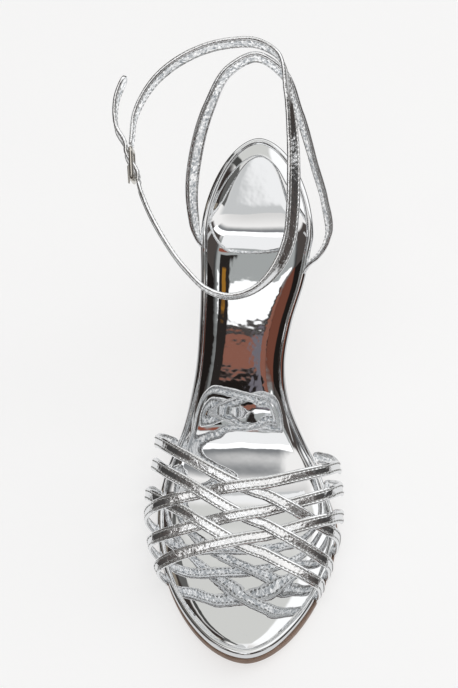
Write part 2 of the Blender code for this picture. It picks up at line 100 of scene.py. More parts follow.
# Mesh from four sided faces: one that lost a corner to the weld becomes a triangle, and one that lost more
# goes. The sign of the enclosed volume, the sum of a . (b x c), turns the faces outwards.
def fillMesh(name, points, faces, finish, finishes):
    same = faces == np.roll(faces, -1, axis=1)
    isFour = ~same.any(axis=1) & (faces[:, 0] != faces[:, 2]) & (faces[:, 1] != faces[:, 3])
    isThree = same.sum(axis=1) == 1
    keep = (np.argmax(same[isThree], axis=1)[:, None] + np.arange(1, 4)) % 4
    four, three = faces[isFour], np.take_along_axis(faces[isThree], keep, axis=1)
    real = three[:, 0] != three[:, 2]
    three = three[real]
    fan = np.concatenate([four[:, [0, 1, 2]], four[:, [0, 2, 3]], three])
    a, b, c = points[fan[:, 0]], points[fan[:, 1]], points[fan[:, 2]]
    if np.einsum("ij,ij->", a, np.cross(b, c)) < 0:
        four, three = four[:, ::-1], three[:, ::-1]
    mesh = bpy.data.meshes.new(name)
    mesh.from_pydata(points.tolist(), [], four.tolist() + three.tolist())
    mesh.polygons.foreach_set("use_smooth", np.ones(len(mesh.polygons), bool))
    if len(finishes) > 1:
        marks = np.r_[finish[isFour], finish[isThree][real]]
        mesh.polygons.foreach_set("material_index", marks.astype(np.int32))
    for material in finishes:
        mesh.materials.append(material)
    mesh.update()
    piece = bpy.data.objects.new(name, mesh)
    bpy.context.scene.collection.objects.link(piece)
    return piece


# Every piece rides on the one rigid body and takes the place of a CAD node
def belongs(piece, node):
    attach(piece, "root")
    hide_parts(node)


# sRGB hex to linear colour
def hexColour(code):
    srgb = np.array([int(code[i:i + 2], 16) / 255 for i in (0, 2, 4)])
    linear = np.where(srgb <= 0.04045, srgb / 12.92, ((srgb + 0.055) / 1.055) ** 2.4)
    return (*linear.tolist(), 1.0)


# One node with its settings, its fixed inputs and its links
def addNode(tree, kind, inputs=None, links=None, **settings):
    node = tree.nodes.new(kind)
    for key, value in settings.items():
        setattr(node, key, value)
    for key, value in (inputs or {}).items():
        node.inputs[key].default_value = value
    for key, source in (links or {}).items():
        tree.links.new(source, node.inputs[key])
    return node


# A plain finish from its settings, and the object's own coordinates for its patterns. A pattern's scale is
# 1000 over its size in mm, as the coordinates are metres.
def newFinish(name, settings):
    material = bpy.data.materials.new(name)
    material.use_nodes = True
    tree = material.node_tree
    shader = tree.nodes["Principled BSDF"]
    shader.inputs["Base Color"].default_value = hexColour(settings["colour"])
    shader.inputs["Metallic"].default_value = settings["metallic"]
    shader.inputs["Roughness"].default_value = settings["roughness"]
    return material, tree, shader, addNode(tree, "ShaderNodeTexCoord").outputs["Object"]


# Silver foil leather of the insole and heel: a laminated mirror film, pressed smooth over padding,
# so it shows a clear picture of the room with a slow waver in it.
mirrorFoil = {"colour": "E2E3E4", "metallic": 1.0, "roughness": 0.022, "waverMm": 7.0, "waverBump": 0.024}


def mirrorFoilLeather():
    material, tree, shader, place = newFinish("mirrorFoilLeather", mirrorFoil)
    waver = addNode(tree, "ShaderNodeTexNoise", {"Scale": 1000 / mirrorFoil["waverMm"], "Detail": 2.0},
                    {"Vector": place})
    bump = addNode(tree, "ShaderNodeBump", {"Strength": mirrorFoil["waverBump"], "Distance": 0.001},
                   {"Height": waver.outputs["Fac"]})
    tree.links.new(bump.outputs["Normal"], shader.inputs["Normal"])
    return material


# The same foil on narrow folded straps: it crinkles where it bends, so it glitters between light and dark.
# The crinkle is 0.3 mm in the hand and drawn at 1.1 mm so that it shows.
strapFoil = {"colour": "F2F3F4", "metallic": 1.0, "roughness": 0.07, "crinkleMm": 1.1, "crinkleBump": 0.3,
             "creaseMm": 4.0, "creaseBump": 0.28}


def strapFoilLeather():
    material, tree, shader, place = newFinish("strapFoilLeather", strapFoil)
    crinkle = addNode(tree, "ShaderNodeTexNoise", {"Scale": 1000 / strapFoil["crinkleMm"], "Detail": 3.0},
                      {"Vector": place})
    crease = addNode(tree, "ShaderNodeTexNoise", {"Scale": 1000 / strapFoil["creaseMm"], "Detail": 1.0},
                     {"Vector": place})
    fine = addNode(tree, "ShaderNodeBump", {"Strength": strapFoil["crinkleBump"], "Distance": 0.0005},
                   {"Height": crinkle.outputs["Fac"]})
    broad = addNode(tree, "ShaderNodeBump", {"Strength": strapFoil["creaseBump"], "Distance": 0.001},
                    {"Height": crease.outputs["Fac"], "Normal": fine.outputs["Normal"]})
    tree.links.new(broad.outputs["Normal"], shader.inputs["Normal"])
    return material


# Lining of the straps: pale silver film on cloth, whose weave breaks it into light and grey specks. It also
# glows in its own speckled tone, a painted light that brightens it in the shade under the straps.
# The weave is 0.4 mm in the hand and drawn at 0.9 mm so that it shows.
strapLining = {"colour": "FFFFFF", "grey": "8F959A", "metallic": 0.6, "roughness": 0.26, "weaveMm": 0.9,
               "weaveBump": 0.5, "paintedGlow": 0.5}


def strapLiningFilm():
    material, tree, shader, place = newFinish("strapLiningFilm", strapLining)
    weave = addNode(tree, "ShaderNodeTexVoronoi", {"Scale": 1000 / strapLining["weaveMm"]},
                    {"Vector": place})
    speck = addNode(tree, "ShaderNodeSeparateColor", links={"Color": weave.outputs["Color"]})
    tone = addNode(tree, "ShaderNodeMix", links={"Factor": speck.outputs["Red"]}, data_type="RGBA")
    tone.inputs[6].default_value = hexColour(strapLining["grey"])
    tone.inputs[7].default_value = hexColour(strapLining["colour"])
    tree.links.new(tone.outputs[2], shader.inputs["Base Color"])
    # Painted light: the speckled tone is also the lining's glow, so it looks lit where it lies in shade
    tree.links.new(tone.outputs[2], shader.inputs["Emission Color"])
    shader.inputs["Emission Strength"].default_value = strapLining["paintedGlow"]
    bump = addNode(tree, "ShaderNodeBump", {"Strength": strapLining["weaveBump"], "Distance": 0.0005},
                   {"Height": weave.outputs["Distance"]})
    tree.links.new(bump.outputs["Normal"], shader.inputs["Normal"])
    return material


# Grey polyester thread: twisted and a little shiny, so each stitch has a soft light along its top.
thread = {"colour": "AFAFAD", "metallic": 0.0, "roughness": 0.45, "twistMm": 0.5, "twistBump": 0.3}


def polyesterThread():
    material, tree, shader, place = newFinish("polyesterThread", thread)
    twist = addNode(tree, "ShaderNodeTexNoise", {"Scale": 1000 / thread["twistMm"], "Detail": 1.0},
                    {"Vector": place})
    bump = addNode(tree, "ShaderNodeBump", {"Strength": thread["twistBump"], "Distance": 0.0003},
                   {"Height": twist.outputs["Fac"]})
    tree.links.new(bump.outputs["Normal"], shader.inputs["Normal"])
    return material


# Vegetable tanned sole leather, waxed and burnished at the edge: warm tan with darker streaks along it.
soleLeather = {"colour": "A48A79", "dark": "725A4C", "metallic": 0.0, "roughness": 0.46, "grainMm": 1.2,
               "grainBump": 0.25, "streakMm": 7.0}


def tannedSoleLeather():
    material, tree, shader, place = newFinish("tannedSoleLeather", soleLeather)
    streak = addNode(tree, "ShaderNodeTexNoise", {"Scale": 1000 / soleLeather["streakMm"], "Detail": 5.0},
                     {"Vector": place})
    tone = addNode(tree, "ShaderNodeMix", links={"Factor": streak.outputs["Fac"]}, data_type="RGBA")
    tone.inputs[6].default_value = hexColour(soleLeather["dark"])
    tone.inputs[7].default_value = hexColour(soleLeather["colour"])
    tree.links.new(tone.outputs[2], shader.inputs["Base Color"])
    grain = addNode(tree, "ShaderNodeTexNoise", {"Scale": 1000 / soleLeather["grainMm"], "Detail": 4.0},
                    {"Vector": place})
    bump = addNode(tree, "ShaderNodeBump", {"Strength": soleLeather["grainBump"], "Distance": 0.0003},
                   {"Height": grain.outputs["Fac"]})
    tree.links.new(bump.outputs["Normal"], shader.inputs["Normal"])
    return material


# Moulded polyurethane of the heel tip: near black, with the faint stipple of its mould.
tipRubber = {"colour": "2B2A29", "metallic": 0.0, "roughness": 0.58, "stippleMm": 0.6, "stippleBump": 0.2}


def mouldedTip():
    material, tree, shader, place = newFinish("mouldedTip", tipRubber)
    stipple = addNode(tree, "ShaderNodeTexNoise", {"Scale": 1000 / tipRubber["stippleMm"], "Detail": 2.0},
                      {"Vector": place})
    bump = addNode(tree, "ShaderNodeBump", {"Strength": tipRubber["stippleBump"], "Distance": 0.0002},
                   {"Height": stipple.outputs["Fac"]})
    tree.links.new(bump.outputs["Normal"], shader.inputs["Normal"])
    return material


# Nickel plated buckle, tumbled and polished: a clean warm mirror with faint polishing haze.
buckleNickel = {"colour": "D2CEC6", "metallic": 1.0, "roughness": 0.1, "hazeMm": 1.5, "haze": (0.06, 0.18)}


def polishedNickel():
    material, tree, shader, place = newFinish("polishedNickel", buckleNickel)
    haze = addNode(tree, "ShaderNodeTexNoise", {"Scale": 1000 / buckleNickel["hazeMm"], "Detail": 3.0},
                   {"Vector": place})
    least, most = buckleNickel["haze"]
    spread = addNode(tree, "ShaderNodeMapRange", {"To Min": least, "To Max": most},
                     {"Value": haze.outputs["Fac"]})
    tree.links.new(spread.outputs["Result"], shader.inputs["Roughness"])
    return material


foil = mirrorFoilLeather()
strapSkin = strapFoilLeather()
lining = strapLiningFilm()
stitchThread = polyesterThread()
tanLeather = tannedSoleLeather()
tip = mouldedTip()
nickel = polishedNickel()
print("materials made")

# The last: side profile of the insole's top and its outline
last = {
    "length": 202.0,
    "treadTop": 7.0,
    "toeRadius": 133.0, "treadStart": 40.0, "treadEnd": 70.0,
    "bendRadius": 46.0, "shankPitch": 52.0, "shankEnd": 150.0,
    "crestRadius": 34.0, "seatPitch": 13.0, "easing": 2.5,
    "outlineY": (58, 68, 78, 88, 98, 108, 120, 132, 145, 158),
    "outer": (43, 43, 42, 39, 34.2, 30.2, 26.6, 24.8, 23.7, 23.5),
    "inner": (37, 35, 31.6, 27.2, 20.8, 15, 12.7, 15.4, 21.2, 24.8),
    "toeLength": {"outer": 65.0, "inner": 64.0}, "toePower": {"outer": 1.8, "inner": 1.75},
    "seatStart": 158.0, "seatPower": 1.8,
    "toeFull": 0.7, "toeFullLong": 9.0, "outlineEase": 8, "tableY": (-30, 240),
    "insoleThick": 4.0, "sideSamples": 230, "spineEnds": (30.0, 172.0),
}


# Toe arc, level tread, bend arc, straight shank, crest arc and straight heel seat, eased together by a
# bell shaped running mean. Kept as a table of height against y.
def sideTable():
    step, window = 0.1, 100
    y = np.arange(*last["tableY"], step)
    steep, low = np.radians(last["shankPitch"]), np.radians(last["seatPitch"])
    bendEnd = last["treadEnd"] + last["bendRadius"] * np.sin(steep)
    crestEnd = last["shankEnd"] + last["crestRadius"] * (np.sin(steep) - np.sin(low))
    zones = [y < last["treadStart"], y < last["treadEnd"], y < bendEnd, y < last["shankEnd"], y < crestEnd]
    sine = np.select(zones, [
        (y - last["treadStart"]) / last["toeRadius"],
        np.zeros_like(y),
        (y - last["treadEnd"]) / last["bendRadius"],
        np.full_like(y, np.sin(steep)),
        np.sin(steep) - (y - last["shankEnd"]) / last["crestRadius"],
    ], np.sin(low))
    slope = sine / np.sqrt(1 - sine ** 2)
    height = np.cumsum(slope) * step
    height += last["treadTop"] - np.interp((last["treadStart"] + last["treadEnd"]) / 2, y, height)
    reach = np.arange(-window, window + 1) * step
    bell = np.exp(-(reach / last["easing"]) ** 2 / 2)
    padded = np.pad(height, window, mode="reflect", reflect_type="odd")
    eased = np.convolve(padded, bell / bell.sum(), "valid")
    return y, eased, np.gradient(eased, step)


sideY, sideHeight, sideSlope = sideTable()


# Height of the insole's top and the sine and cosine of its pitch
def sideAt(y):
    slope = np.interp(y, sideY, sideSlope)
    run = np.hypot(1, slope)
    return np.interp(y, sideY, sideHeight), slope / run, 1 / run


# Half width of the insole on one side: a smooth curve, rounded off at toe and heel as superellipses
def halfWidth(y, side):
    y = np.asarray(y, float)
    toe = np.clip(1 - y / last["toeLength"][side], 0, 1)
    seat = np.clip((y - last["seatStart"]) / (last["length"] - last["seatStart"]), 0, 1)
    toePower, seatPower = last["toePower"][side], last["seatPower"]
    return (smooth(last["outlineY"], last[side], y) * (1 - toe ** toePower) ** (1 / toePower)
            * (1 - seat ** seatPower) ** (1 / seatPower))


# Outline as one loop: up the outer side from the toe and back down the inner side, at paired stations.
# A bell shaped margin makes the toe a little fuller.
def soleLoop(stations):
    outer = np.stack([-halfWidth(stations, "outer"), stations], axis=1)
    inner = np.stack([halfWidth(stations, "inner"), stations], axis=1)
    loop = relax(np.concatenate([outer, inner[-2:0:-1]]), last["outlineEase"], True)
    full = last["toeFull"] * np.exp(-(np.r_[stations, stations[-2:0:-1]] / last["toeFullLong"]) ** 2)
    return loop - full[:, None] * inward(loop)


# Direction square to the outline, to its inside, from the points on either side
def inward(loop):
    along = unit(np.roll(loop, -1, axis=0) - np.roll(loop, 1, axis=0))
    return np.stack([along[:, 1], -along[:, 0]], axis=1)


# Stations along y, evenly spaced on the outline's own length
def outlineStations(count):
    y = last["length"] * (0.5 - 0.5 * np.cos(np.linspace(0, np.pi, 4001)))
    wide = (halfWidth(y, "outer") + halfWidth(y, "inner")) / 2
    run = np.r_[0, np.cumsum(np.hypot(np.diff(y), np.diff(wide)))]
    return np.interp(np.linspace(0, run[-1], count), run, y)


# A point at a depth square under the insole's top
def under(x, y, depth):
    height, sine, cosine = sideAt(y)
    return np.stack([x, y + depth * sine, height - depth * cosine], axis=-1)


# A slab inside an outline: each row of its section has an inset from the edge towards the middle line, a
# share of the way from there to the middle line, and a depth. Middle points of the two sides coincide, so
# the skin closes. Insets past a start are stretched by a spread at each station, and a lift thins the depth.
def slabGrid(loop, spine, section, start=0.0, spread=1.0, lift=None):
    inset, share, depth = np.array(section, float).T[:, :, None]
    side = unit(spine - loop)
    inset = start + (inset - start) * spread
    x = (loop[:, 0] + inset * side[:, 0]) * (1 - share) + spine[:, 0] * share
    y = (loop[:, 1] + inset * side[:, 1]) * (1 - share) + spine[:, 1] * share
    depth = depth + np.zeros_like(x)
    if lift is not None:
        depth = depth - lift(x, y, depth)
    grid = under(x, y, depth)
    return np.concatenate([grid, grid[:, :1]], axis=1)


# Middle line for a loop of paired stations, held back from both ends
def middleLine(stations):
    half = len(stations)
    order = np.r_[np.arange(half), np.arange(half - 2, 0, -1)]
    y = np.clip(stations, *last["spineEnds"])[order]
    x = (halfWidth(y, "inner") - halfWidth(y, "outer")) / 2
    return np.stack([x, y], axis=1)


# Quarter turn of an edge from one inset and depth to another, bulging outwards
def edgeTurn(start, end, count, fromTop):
    t = np.linspace(0, np.pi / 2, count)
    a, b = (np.sin(t), 1 - np.cos(t)) if fromTop else (1 - np.cos(t), np.sin(t))
    return [(start[0] + (end[0] - start[0]) * u, 0.0, start[1] + (end[1] - start[1]) * v)
            for u, v in zip(a, b)]


# Wrapped insole board: foil turned over its edge makes a rounded rim with a groove inside it
board = {"rimWide": 2.5, "rimLip": 0.5, "rimCrest": (1.8, 0.0), "grooveDepth": 0.85, "belly": 1.3,
         "underTurn": 0.7, "flatInset": 4.0, "rimRows": 9, "underRows": 5}


# Section from the middle out: flat under the sock, up into the rim, a quarter turn over its crest to the
# belly, down to a small turn and back along the underside
def makeBoard():
    stations = outlineStations(last["sideSamples"])
    wide, crest, groove = board["rimWide"], board["rimCrest"], board["grooveDepth"]
    flat, turn, deep = board["flatInset"], board["underTurn"], last["insoleThick"]
    section = [(flat, share, groove) for share in (1.0, 0.5, 0.0)] + [(wide + board["rimLip"], 0.0, groove)]
    section += edgeTurn((wide, groove), crest, board["rimRows"], False)
    section += edgeTurn(crest, (0.0, board["belly"]), board["rimRows"], True)[1:]
    section += edgeTurn((0.0, deep - turn), (turn, deep), board["underRows"], False)
    section += [(flat, share, deep) for share in (0.0, 0.5, 1.0)]
    piece = skin("insoleBoard", slabGrid(soleLoop(stations), middleLine(stations), section), [foil])
    belongs(piece, "insole")


# Padded sock on the board: it rolls down into the groove, with slow waves, a pad at the ball and soft dents
sock = {
    "inset": 2.5, "raise": 0.55, "drop": 1.4, "roll": 8.4, "rollPower": 2.7, "rollRows": 22, "seatRows": 22,
    # how far the roll spreads along y
    "rollY": (0, 12, 30, 55, 74, 90, 116, 202),
    "rollSpread": (0.75, 1.35, 1.75, 1.6, 1.1, 0.62, 1.05, 1.2),
    "seatDepth": 1.2, "underInset": 0.3, "liftAbove": 0.9,
    # wavelength, heading, start and height of each slow wave, and how strong they are along y
    "waves": ((46.0, 20.0, 0.4, 0.02), (21.0, 93.0, 2.1, 0.02), (33.0, 70.0, 4.0, 0.015),
              (12.0, 100.0, 1.2, 0.004)),
    "waveY": (0, 10, 20, 55, 75, 95, 202), "waveShare": (0.0, 0.1, 1.0, 1.0, 0.5, 0.1, 0.15),
    # pad under the ball: middle x, y, half width, half length and height
    "pad": (-6.0, 88.0, 32.0, 9.5, 1.4),
    # how far the sock falls at the toe, and where
    "toeFall": 0.4, "toeFallY": (8.0, 38.0),
    # x, y, size and height of each dent where the sock bends
    "dents": ((-6.0, 100.0, 4.0, -0.09), (4.0, 102.0, 3.5, 0.07), (-15.0, 99.0, 3.5, 0.07),
              (0.0, 106.0, 3.0, 0.04), (11.0, 100.0, 3.5, -0.07), (-12.0, 105.0, 3.0, -0.04),
              (-7.0, 162.0, 7.0, 0.13), (8.0, 160.0, 6.5, -0.13)),
}


# Sum of the waves as sines, the dents and a flat topped pad as bells, and a soft step at the toe; the
# underside stays
def sockLift(x, y, depth):
    lift = np.zeros_like(x)
    for length, heading, start, height in sock["waves"]:
        turn = np.radians(heading)
        lift += height * np.sin(2 * np.pi * (x * np.cos(turn) + y * np.sin(turn)) / length + start)
    lift *= smooth(sock["waveY"], sock["waveShare"], y)
    for dentX, dentY, size, height in sock["dents"]:
        lift += height * np.exp(-((x - dentX) ** 2 + (y - dentY) ** 2) / size ** 2)
    padX, padY, wide, long, height = sock["pad"]
    lift += height * np.exp(-((x - padX) / wide) ** 4 - ((y - padY) / long) ** 2)
    lift += levelSteps(np.array(sock["toeFallY"]), np.array((-sock["toeFall"], 0.0)), y)
    return lift * (depth < sock["liftAbove"])


# Roll from the groove inwards: depth is drop * (1 - q) ** rollPower - raise, then level to the middle line
def makeSock():
    stations = outlineStations(last["sideSamples"])
    loop = soleLoop(stations)
    edge, inner, deep = sock["inset"], sock["inset"] + sock["roll"], sock["seatDepth"]
    q = np.linspace(0, 1, sock["rollRows"])
    rollDepth = sock["drop"] * (1 - q) ** sock["rollPower"] - sock["raise"]
    section = [(inner, 1.0, deep), (inner, 0.0, deep), (edge + sock["underInset"], 0.0, deep)]
    section += np.stack([edge + sock["roll"] * q, 0 * q, rollDepth], axis=1).tolist()
    section += [(inner, share, -sock["raise"]) for share in np.linspace(0, 1, sock["seatRows"])[1:]]
    spread = smooth(sock["rollY"], sock["rollSpread"], loop[:, 1])
    piece = skin("sockLining", slabGrid(loop, middleLine(stations), section, edge, spread, sockLift), [foil])
    belongs(piece, "insole")


makeBoard()
makeSock()
print("insole made")

# Leather outsole: its margin shows a little past the insole at the forepart, draws in at the waist and ends
# at the heel breast
outsole = {
    "top": 4.15, "bottom": 7.0, "end": 167.0, "edgeTurn": 0.45,
    "marginY": (0, 15, 35, 60, 75, 90, 110, 130, 167),
    "marginOuter": (1.0, 0.4, 0.2, 0.2, 0.0, -1.2, -2.0, -1.5, -1.0),
    "marginInner": (1.0, 0.8, 0.8, 0.8, 0.2, -1.2, -2.0, -1.5, -1.0),
    "breastSamples": 16, "endClear": 0.5, "edgeEase": 6, "turnRows": 5,
    "spineBack": 14.0, "flatInset": 4.0, "treadInset": 1.5,
}


# The insole's outline cut straight across at the breast, moved out by the margin; a slab with turned edges
def makeOutsole():
    stations = outlineStations(last["sideSamples"])
    stations = np.r_[stations[stations < outsole["end"] - outsole["endClear"]], outsole["end"]]
    growth = [smooth(outsole["marginY"], outsole[key], stations) for key in ("marginOuter", "marginInner")]
    outer = np.stack([-halfWidth(stations, "outer"), stations], axis=1)
    inner = np.stack([halfWidth(stations, "inner"), stations], axis=1)
    middle = (outer[-1] + inner[-1]) / 2
    step = np.linspace(0, 1, outsole["breastSamples"])[1:, None]
    outer = np.concatenate([outer, outer[-1] + (middle - outer[-1]) * step])
    inner = np.concatenate([inner, inner[-1] + (middle - inner[-1]) * step])
    growOuter, growInner = (np.r_[grow, np.full(len(step), grow[-1])] for grow in growth)
    loop = relax(np.concatenate([outer, inner[-2:0:-1]]), outsole["edgeEase"], True)
    order = np.r_[np.arange(len(outer)), np.arange(len(outer) - 2, 0, -1)]
    loop = loop - inward(loop) * np.r_[growOuter, growInner[-2:0:-1]][:, None]
    y = np.clip(outer[:, 1], last["spineEnds"][0], outsole["end"] - outsole["spineBack"])[order]
    spine = np.stack([(halfWidth(y, "inner") - halfWidth(y, "outer")) / 2, y], axis=1)
    top, bottom, turn, flat = (outsole[key] for key in ("top", "bottom", "edgeTurn", "flatInset"))
    section = [(flat, share, top) for share in (1.0, 0.5, 0.0)]
    section += edgeTurn((turn, top), (0.0, top + turn), outsole["turnRows"], True)
    section += [(0.0, 0.0, (top + bottom) / 2)]
    section += edgeTurn((0.0, bottom - turn), (turn, bottom), outsole["turnRows"], False)
    section += [(outsole["treadInset"], 0.0, bottom)]
    section += [(flat, share, bottom) for share in (0.0, 0.25, 0.5, 0.75, 1.0)]
    piece = skin("outsole", slabGrid(loop, spine, section), [tanLeather])
    belongs(piece, "outsole")


makeOutsole()
print("outsole made")


# Points round a strap and how square its sunk top is; a stitch's outline as shares of its half length and
# half thickness
strapPoints = {"top": 45, "turn": 11, "below": 9, "sinkPower": 6}
stitch = {"along": (-1.0, -0.72, 0.0, 0.72, 1.0), "girth": (0.0, 0.8, 1.0, 0.8, 0.0), "sides": 6}


# Section of a strap across its width and thickness: half round edges, a bell shaped groove for each row of
# stitches and bead beside it, and the lining along the bottom. Also tells which columns are lining.
def strapRing(strap):
    half, edge = strap["wide"] / 2, strap["thick"] / 2
    flat = half - edge
    a = np.linspace(flat, -flat, strapPoints["top"])
    fromEdge = half - np.abs(a)
    groove = strap["groove"] * np.exp(-((fromEdge - strap["stitchInset"]) / strap["grooveWide"]) ** 2)
    bead = strap["bead"] * np.exp(-((fromEdge - strap["beadInset"]) / strap["beadWide"]) ** 2)
    sink = strap["sink"] * (1 - (a / flat) ** strapPoints["sinkPower"])
    topSide = np.stack([a, edge - sink + bead - groove], axis=1)
    turn = np.radians(np.linspace(90, 270, strapPoints["turn"]))[1:-1]
    left = np.stack([-flat + edge * np.cos(turn), edge * np.sin(turn)], axis=1)
    b = np.linspace(-flat, flat, strapPoints["below"])
    below = np.stack([b, np.full_like(b, -edge)], axis=1)
    right = np.stack([flat - edge * np.cos(turn), -edge * np.sin(turn)], axis=1)
    ring = np.concatenate([topSide, left, below, right, topSide[:1]])
    isLining = np.zeros(len(ring) - 1, int)
    isLining[len(a) + len(left) + 1:len(a) + len(left) + len(b) - 2] = 1
    return ring, isLining


# The ring carried along a path, closed at both ends; wide scales the ring across, row by row
def strapGrid(path, across, outward, ring, wide=None):
    wide = np.ones(len(path)) if wide is None else wide
    grid = (path[:, None] + ring[None, :, :1] * across[:, None] * wide[:, None, None]
            + ring[None, :, 1:] * outward[:, None])
    shape = (1, len(ring), 3)
    return np.concatenate([np.broadcast_to(path[0], shape), grid, np.broadcast_to(path[-1], shape)])


# Rows of stitches, two above and two below: each is a small six sided bead along the strap
def stitchMesh(name, path, across, outward, strap, ends):
    run = np.r_[0, np.cumsum(np.linalg.norm(np.diff(path, axis=0), axis=1))]
    at = np.arange(ends[0], run[-1] - ends[1], strap["stitchPitch"])
    place, side, up = (np.stack([np.interp(at, run, v[:, k]) for k in range(3)], axis=1)
                       for v in (path, across, outward))
    forward = unit(np.stack([np.interp(at, run, np.gradient(path[:, k], run)) for k in range(3)], axis=1))
    long = np.array(stitch["along"]) * strap["stitchLong"] / 2
    girth = np.array(stitch["girth"]) * strap["stitchThick"] / 2
    spin = np.linspace(0, 2 * np.pi, stitch["sides"] + 1)
    rows = []
    top = strap["thick"] / 2 - strap["groove"] + strap["stitchRise"]
    for sign, height in ((-1, top), (1, top), (-1, -strap["thick"] / 2), (1, -strap["thick"] / 2)):
        centre = place + sign * (strap["wide"] / 2 - strap["stitchInset"]) * side + height * up
        wheel = (np.cos(spin)[None, None, :, None] * side[:, None, None]
                 + np.sin(spin)[None, None, :, None] * up[:, None, None])
        rows.append(centre[:, None, None] + long[None, :, None, None] * forward[:, None, None]
                    + girth[None, :, None, None] * wheel)
    beads = np.concatenate(rows)
    points = (beads.reshape(-1, 3) + shoeShift) * mm
    index = np.arange(len(points)).reshape(beads.shape[:3])
    index[:, :, -1] = index[:, :, 0]
    index[:, 0, :] = index[:, :1, 0]
    index[:, -1, :] = index[:, -1:, 0]
    corners = (index[:, :-1, :-1], index[:, :-1, 1:], index[:, 1:, 1:], index[:, 1:, :-1])
    used, faces = np.unique(np.stack(corners, axis=-1), return_inverse=True)
    faces = faces.reshape(-1, 4)
    return fillMesh(name, points[used], faces, np.zeros(len(faces), int), [stitchThread])


# Vamp: three straps from the outer side woven through three from the inner side, over a foot form.
# The form has half widths and a ridge height along y; below its widest it turns in to the insole's edge.
vamp = {
    "wide": 5.4, "thick": 1.4, "groove": 0.22, "grooveWide": 0.22, "stitchInset": 1.3,
    "bead": 0.1, "beadInset": 0.8, "beadWide": 0.3, "sink": 0.08,
    "stitchPitch": 1.95, "stitchLong": 1.35, "stitchThick": 0.46, "stitchRise": 0.17,
    "stitchEnds": (4.0, 4.0), "weave": 0.76, "fade": 30.0,
    "steps": 190, "fineSteps": 4001, "pathEase": 14, "tiltEase": 20,
    "tuck": 14.0, "tuckIn": 0.6, "tuckFrom": 0.3, "tuckOver": 0.5,
    "formY": (15, 25, 35, 45, 55, 68, 82, 96),
    "formOuter": (27, 34.8, 40.2, 43.6, 45.6, 46.2, 43.9, 43),
    "formInner": (24, 30.2, 34.4, 37, 38.8, 39, 37.2, 33),
    "formTop": (27.5, 30, 32.4, 35.8, 40, 45.4, 52.5, 61),
    "ridge": 6.0, "wideHeight": 13.0, "power": 2.3, "foot": -2.3, "footRaise": 1.2, "edgeClear": 1.3,
    # y of each strap at angles round the form: -90 is the outer edge, 0 the outer side, 90 the ridge,
    # 180 the inner side and 270 the inner edge
    "stations": (-90, -45, 0, 50, 90, 130, 180, 225, 270),
    "fromOuter": ((96, 94.6, 90.6, 76, 60, 51, 49, 49.6, 50.5),
                  (85.2, 84.2, 81, 66.5, 48.5, 39.5, 36, 37.2, 38.5),
                  (74, 72.2, 67.5, 54, 37, 29.5, 27, 28, 29)),
    "fromInner": ((57.5, 56.8, 56.5, 59, 64, 71, 81.8, 88, 92),
                  (44.5, 44.1, 44, 46.5, 53, 60.8, 72.1, 77, 80.4),
                  (34.5, 33.2, 32.5, 37, 43.5, 50.8, 59.1, 63.6, 67)),
}


# Point of the foot form: above the widest line a superellipse to the ridge, below it a cosine in to the edge
def footForm(around, y):
    floor, sine, _ = sideAt(y)
    outerSide = around < 90
    lean = np.radians(np.where(outerSide, around, 180 - around))
    wide = np.where(outerSide, smooth(vamp["formY"], vamp["formOuter"], y),
                    smooth(vamp["formY"], vamp["formInner"], y))
    seatY = y - last["insoleThick"] * np.clip(sine, 0, 1)
    edge, ahead = (np.where(outerSide, halfWidth(at, "outer"), halfWidth(at, "inner"))
                   for at in (seatY, seatY + 1))
    edge = edge + vamp["edgeClear"] * np.hypot(1, ahead - edge)
    tuck = np.clip((vamp["tuckFrom"] - np.pi / 2 - lean) / vamp["tuckOver"], 0, 1)
    lowReach = edge + (wide - edge) * np.cos(np.clip(lean, -np.pi / 2, 0)) - vamp["tuckIn"] * tuck
    foot = vamp["foot"] + vamp["footRaise"] * np.clip(sine, 0, 1)
    lowHeight = foot + (vamp["wideHeight"] - foot) * (1 + lean / (np.pi / 2))
    rise = np.clip(lean, 0, np.pi / 2)
    ridge = np.where(outerSide, -vamp["ridge"], vamp["ridge"])
    crown = smooth(vamp["formY"], vamp["formTop"], y) - floor - vamp["wideHeight"]
    highReach = ridge + (wide - ridge) * np.abs(np.cos(rise)) ** (2 / vamp["power"])
    highHeight = vamp["wideHeight"] + crown * np.sin(rise) ** (2 / vamp["power"])
    reach = np.where(lean < 0, lowReach, highReach)
    height = floor + np.where(lean < 0, lowHeight, highHeight)
    return np.stack([np.where(outerSide, -reach, reach), y, height], axis=-1)


# Angle round the form at which two straps cross
def crossing(strap, other):
    around = np.linspace(-90, 270, 3601)   # tenths of a degree
    apart = smooth(vamp["stations"], strap, around) - smooth(vamp["stations"], other, around)
    return around[np.argmax(apart[:-1] * apart[1:] <= 0)]


# Path on the form from edge to edge, with its across and outward directions; it rises and dips at each
# crossing
def vampPath(strap, others, lifts):
    around = np.linspace(-90 - vamp["tuck"], 270 + vamp["tuck"], vamp["fineSteps"])
    path = footForm(around, smooth(vamp["stations"], strap, around))
    path = evenly(np.column_stack([path, around]), vamp["steps"])
    around = path[:, 3]
    path = relax(path[:, :3], vamp["pathEase"], False)
    y = smooth(vamp["stations"], strap, around)
    forward = unit(np.gradient(path, axis=0))
    roundForm = footForm(around + 0.5, y) - footForm(around - 0.5, y)
    alongForm = footForm(around, y + 0.5) - footForm(around, y - 0.5)
    outward = unit(np.cross(roundForm, alongForm))
    outward = outward if outward[len(outward) // 2, 2] > 0 else -outward
    outward = unit(relax(outward, vamp["tiltEase"], False))
    outward = unit(outward - np.sum(outward * forward, axis=1, keepdims=True) * forward)
    meets = np.array([crossing(strap, other) for other in others])
    order = np.argsort(meets)
    knots = np.r_[meets[order[0]] - vamp["fade"], meets[order], meets[order[-1]] + vamp["fade"]]
    lift = levelSteps(knots, np.r_[0, np.asarray(lifts)[order], 0], around)
    return path + lift[:, None] * outward, np.cross(outward, forward), outward


